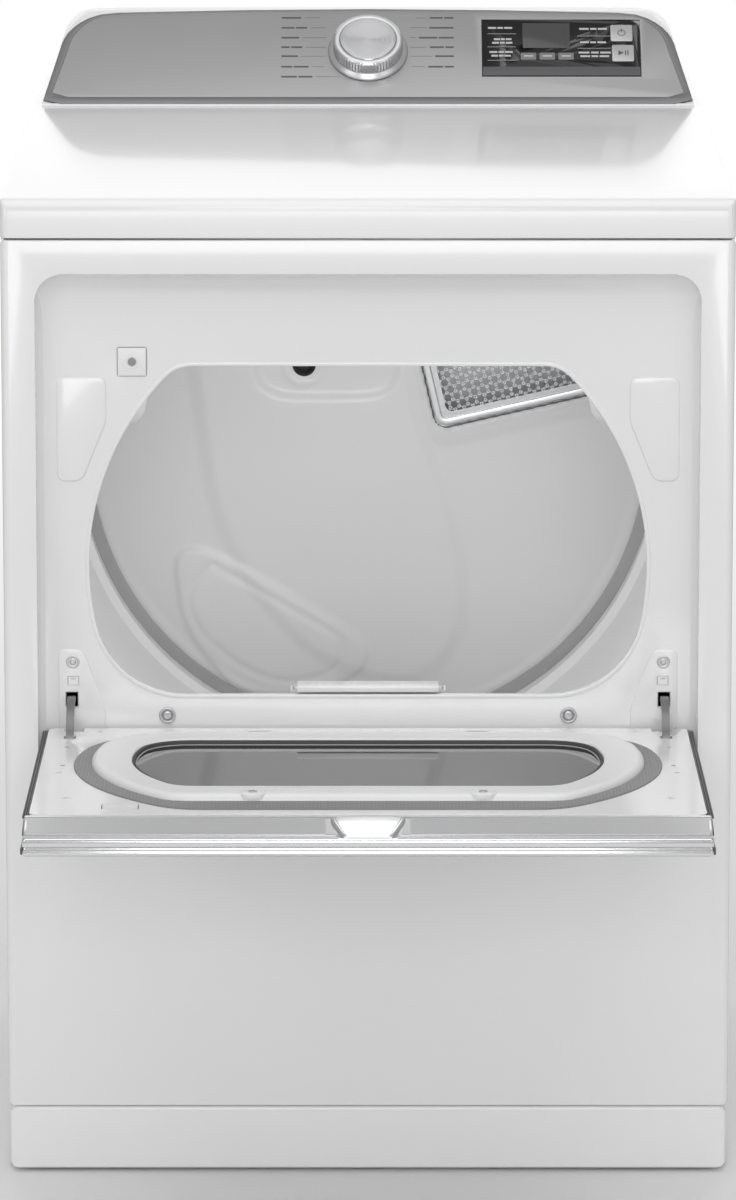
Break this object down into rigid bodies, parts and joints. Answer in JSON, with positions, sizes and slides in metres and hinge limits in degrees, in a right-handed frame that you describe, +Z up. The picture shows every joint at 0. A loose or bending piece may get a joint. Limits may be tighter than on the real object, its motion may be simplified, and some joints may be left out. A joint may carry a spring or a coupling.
{
  "type": "clothes dryer",
  "caption": "Free-standing electric clothes dryer with a pull-down window door standing open, slanted console with a selector knob, and a rear exhaust collar.",
  "frame": {"origin": "middle of the footprint of the whole object with the door open, on the floor", "axes": "+X to the right seen from the front, +Y from the door towards the rear panel, +Z up"},
  "size_m": [0.737, 1.191, 1.1194],
  "materials": {
    "white_enamel": "gloss enamel",
    "grey_enamel": "satin enamel",
    "galvanised": "galvanised sheet",
    "steel": "plain steel",
    "satin_metal": "brushed",
    "bright_metal": "satin chrome",
    "white_plastic": "gloss",
    "grey_plastic": "fine texture",
    "dark_plastic": "fine texture",
    "black_glass": "high gloss",
    "tinted_glass": "smoked",
    "felt": "woven felt",
    "rubber": "matte",
    "key_grey": "satin",
    "cast_metal": "painted"
  },
  "bodies": {
    "cabinet": {"front_panel": "white_enamel", "toe_panel": "white_enamel", "side_panel_left": "white_enamel", "side_panel_right": "white_enamel", "rear_panel": "galvanised", "base_pan": "galvanised", "top_panel": "white_enamel", "front_bulkhead": "grey_enamel", "rear_bulkhead": "grey_enamel", "inlet_grille": "satin_metal", "lamp_lens": "black_glass", "lint_duct": "white_plastic", "blower_housing": "white_plastic", "exhaust_duct": "galvanised", "motor_housing": "cast_metal", "heater_box": "galvanised", "heater_coil": "steel", "terminal_cover": "galvanised", "control_board": "dark_plastic", "console_housing": "white_plastic", "console_fascia": "satin_metal", "display_glass": "black_glass", "door_catch": "white_plastic", "roller_shafts": "steel", "hinge_brackets": "steel", "drum_seals": "felt", "drum_glides": "white_plastic", "drive_belt": "rubber", "idler_spring": "steel", "panel_screws": "steel"},
    "drum": {"drum_shell": "grey_enamel", "drum_baffles": "white_plastic"},
    "rotor": {"motor_rotor": "steel", "blower_wheel": "white_plastic"},
    "idler": {"idler_arm": "steel"},
    "idler_wheel": {"idler_pulley": "grey_plastic"},
    "left_roller": {"roller_left": "rubber"},
    "right_roller": {"roller_right": "rubber"},
    "screen": {"lint_screen": "white_plastic"},
    "door": {"door_outer_panel": "white_enamel", "door_liner": "white_enamel", "window_surround": "white_plastic", "door_glass": "tinted_glass", "door_gasket": "felt", "door_handle": "bright_metal", "door_side_trims": "dark_plastic", "door_strike": "white_plastic", "hinge_stays": "steel", "door_screws": "steel"},
    "knob": {"cycle_knob": "bright_metal"},
    "power_button": {"power_key": "key_grey"},
    "start_button": {"start_key": "key_grey"},
    "option_button_1": {"option_key_1": "key_grey"},
    "option_button_2": {"option_key_2": "key_grey"},
    "option_button_3": {"option_key_3": "key_grey"},
    "plunger": {"switch_plunger": "grey_plastic"},
    "front_left_foot": {"foot_front_left": "grey_plastic"},
    "front_right_foot": {"foot_front_right": "grey_plastic"},
    "rear_left_foot": {"foot_rear_left": "grey_plastic"},
    "rear_right_foot": {"foot_rear_right": "grey_plastic"}
  },
  "joints": [
    {"name": "door_hinge", "type": "hinge", "parent": "cabinet", "child": "door", "pos_m": [0, -0.12551, 0.452], "axis": [-1, 0, 0], "range_deg": [0, 87.3]},
    {"name": "drum_spin", "type": "hinge", "parent": "cabinet", "child": "drum", "pos_m": [0, 0.20349, 0.631], "axis": [0, 1, 0], "continuous": true},
    {"name": "motor_spin", "type": "hinge", "parent": "cabinet", "child": "rotor", "pos_m": [-0.15, 0.16349, 0.15], "axis": [0, 1, 0], "continuous": true},
    {"name": "idler_swing", "type": "hinge", "parent": "cabinet", "child": "idler", "pos_m": [-0.246, 0.28175, 0.104], "axis": [0, -1, 0], "range_deg": [0, 12], "stiffness_Nm_per_rad": 4, "springref_deg": -17.19, "deforming": ["idler_spring"]},
    {"name": "idler_spin", "type": "hinge", "parent": "idler", "child": "idler_wheel", "pos_m": [-0.23034, 0.27125, 0.2255], "axis": [0, 1, 0], "continuous": true},
    {"name": "left_roller_spin", "type": "hinge", "parent": "cabinet", "child": "left_roller", "pos_m": [-0.1993, 0.46749, 0.33553], "axis": [0, 1, 0], "continuous": true},
    {"name": "right_roller_spin", "type": "hinge", "parent": "cabinet", "child": "right_roller", "pos_m": [0.1993, 0.46749, 0.33553], "axis": [0, 1, 0], "continuous": true},
    {"name": "screen_slide", "type": "slide", "parent": "cabinet", "child": "screen", "axis": [0, 0, 1], "range_m": [0, 0.26]},
    {"name": "knob_turn", "type": "hinge", "parent": "cabinet", "child": "knob", "pos_m": [0, 0.43516, 1.07867], "axis": [0, -0.632, 0.7749], "continuous": true},
    {"name": "power_press", "type": "slide", "parent": "cabinet", "child": "power_button", "axis": [0, 0.632, -0.7749], "range_m": [0, 0.0015], "stiffness_N_per_m": 400, "springref_m": -0.002},
    {"name": "start_press", "type": "slide", "parent": "cabinet", "child": "start_button", "axis": [0, 0.632, -0.7749], "range_m": [0, 0.0015], "stiffness_N_per_m": 400, "springref_m": -0.002},
    {"name": "option_press_1", "type": "slide", "parent": "cabinet", "child": "option_button_1", "axis": [0, 0.632, -0.7749], "range_m": [0, 0.0015], "stiffness_N_per_m": 400, "springref_m": -0.002},
    {"name": "option_press_2", "type": "slide", "parent": "cabinet", "child": "option_button_2", "axis": [0, 0.632, -0.7749], "range_m": [0, 0.0015], "stiffness_N_per_m": 400, "springref_m": -0.002},
    {"name": "option_press_3", "type": "slide", "parent": "cabinet", "child": "option_button_3", "axis": [0, 0.632, -0.7749], "range_m": [0, 0.0015], "stiffness_N_per_m": 400, "springref_m": -0.002},
    {"name": "switch_press", "type": "slide", "parent": "cabinet", "child": "plunger", "axis": [0, 1, 0], "range_m": [0, 0.0025], "stiffness_N_per_m": 300, "springref_m": -0.002},
    {"name": "front_left_level", "type": "slide", "parent": "cabinet", "child": "front_left_foot", "axis": [0, 0, -1], "range_m": [0, 0.02]},
    {"name": "front_right_level", "type": "slide", "parent": "cabinet", "child": "front_right_foot", "axis": [0, 0, -1], "range_m": [0, 0.02]},
    {"name": "rear_left_level", "type": "slide", "parent": "cabinet", "child": "rear_left_foot", "axis": [0, 0, -1], "range_m": [0, 0.02]},
    {"name": "rear_right_level", "type": "slide", "parent": "cabinet", "child": "rear_right_foot", "axis": [0, 0, -1], "range_m": [0, 0.02]}
  ],
  "couplings": [
    {"joint": "motor_spin", "follows": "drum_spin", "ratio": 19.679},
    {"joint": "idler_spin", "follows": "drum_spin", "ratio": -10.352},
    {"joint": "left_roller_spin", "follows": "drum_spin", "ratio": -8.3684},
    {"joint": "right_roller_spin", "follows": "drum_spin", "ratio": -8.3684}
  ]
}
